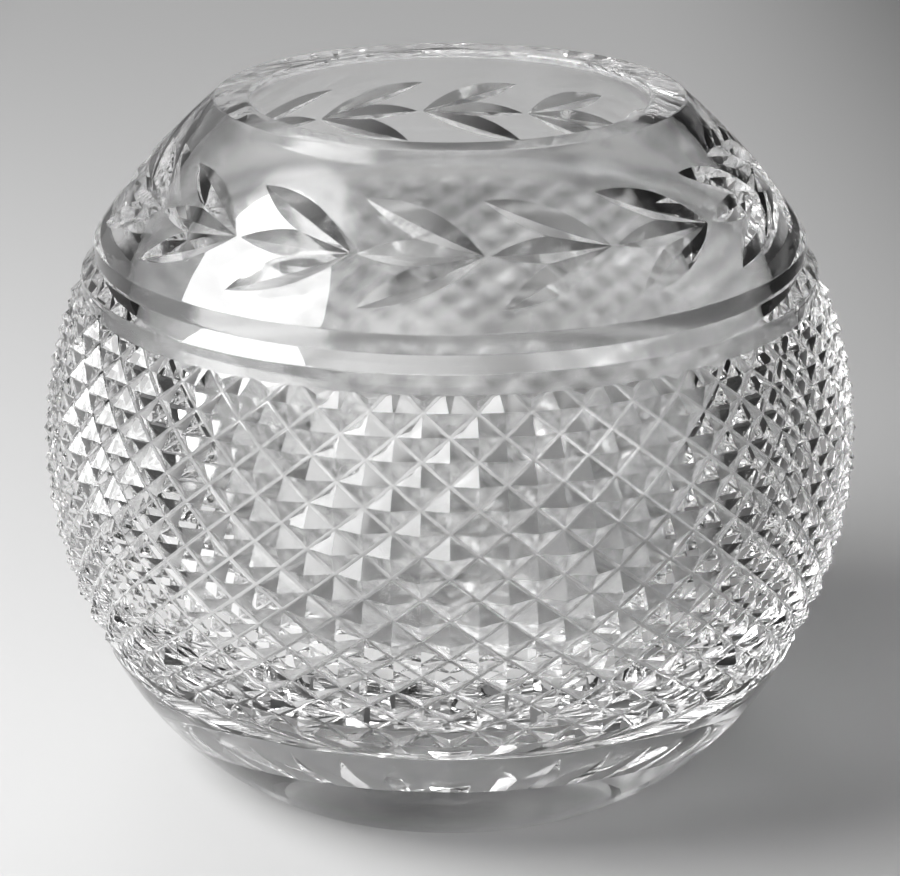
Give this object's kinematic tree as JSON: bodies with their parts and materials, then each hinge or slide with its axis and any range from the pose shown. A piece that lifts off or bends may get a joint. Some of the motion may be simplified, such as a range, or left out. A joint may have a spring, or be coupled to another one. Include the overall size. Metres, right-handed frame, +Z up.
{
  "type": "rose bowl vase",
  "caption": "Round cut-crystal rose bowl with an open mouth, a leaf-cut shoulder, ring mitres, a diamond-cut belly and a flat star-cut foot.",
  "frame": {"origin": "centre of the flat foot, on the surface the bowl stands on", "axes": "+Z up along the bowl's own axis, -Y towards the viewer of the picture, +X to the viewer's right"},
  "size_m": [0.1518, 0.1518, 0.127],
  "materials": {
    "crystal": "clear, wheel-cut and polished"
  },
  "bodies": {
    "root": {"crystal_bowl": "crystal"}
  },
  "joints": []
}
